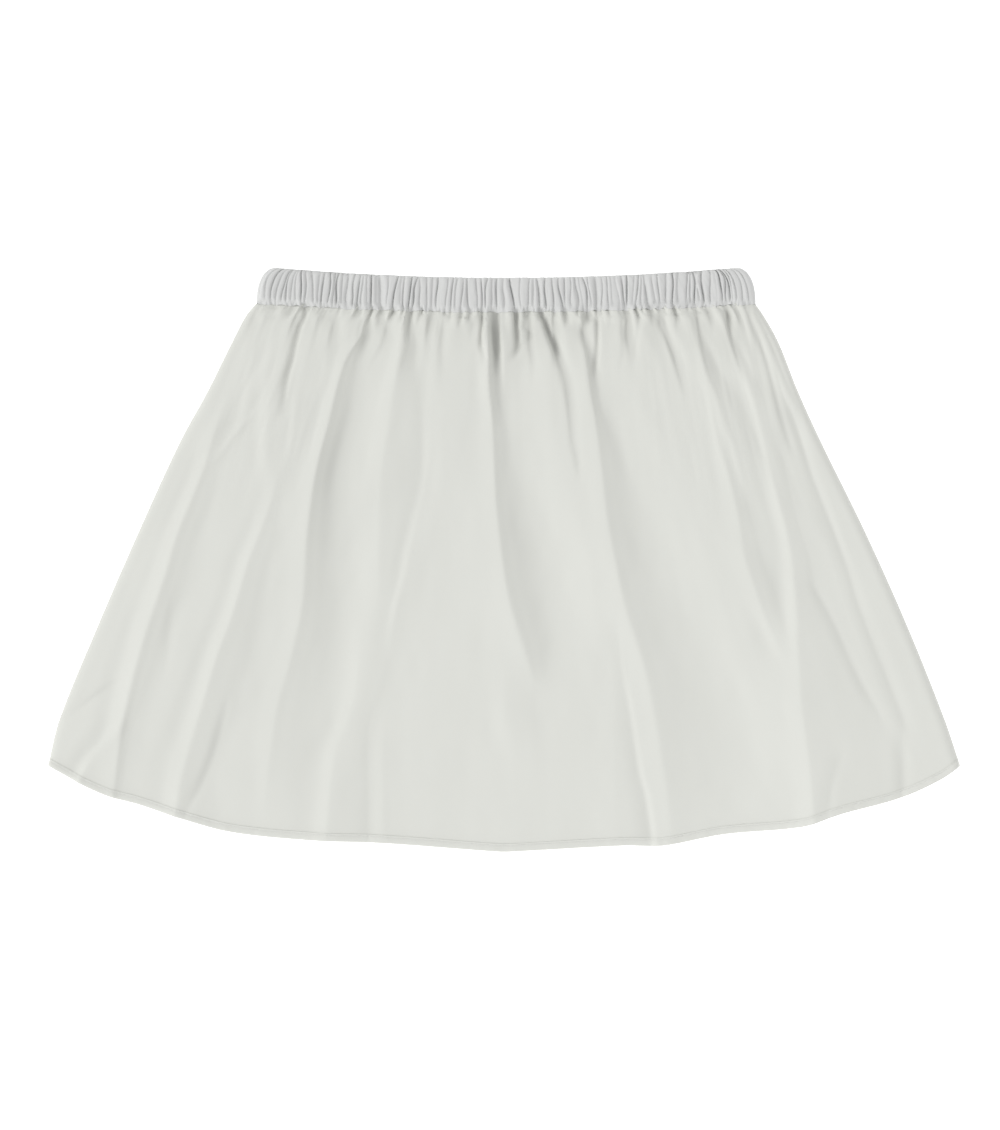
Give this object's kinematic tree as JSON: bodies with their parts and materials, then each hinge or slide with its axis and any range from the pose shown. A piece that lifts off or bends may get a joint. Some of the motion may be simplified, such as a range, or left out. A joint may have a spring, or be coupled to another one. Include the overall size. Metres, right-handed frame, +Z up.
{
  "type": "gathered elastic-waist skirt",
  "caption": "Flared mini skirt of plain pale cotton, gathered freely into an elasticated waistband, laid flat front upwards with its panels on each other.",
  "frame": {"origin": "centre of the laid-flat skirt's bounding box, on the surface it lies on", "axes": "+Z up out of the front panel, +Y towards the waistband, -Y towards the hem, +X towards the right as seen from above"},
  "size_m": [0.638, 0.4083, 0.0128],
  "materials": {
    "panel_cloth": "matte plain-weave cotton, off-white, softly creased",
    "hem_cloth": "matte plain-weave cotton, off-white, double-turned and stitched",
    "band_cloth": "matte plain-weave cotton, off-white, tightly gathered over elastic"
  },
  "bodies": {
    "root": {"front_panel": "panel_cloth", "back_panel": "panel_cloth", "waistband_front": "band_cloth", "waistband_back": "band_cloth", "hem_front": "hem_cloth", "hem_back": "hem_cloth"}
  },
  "joints": []
}
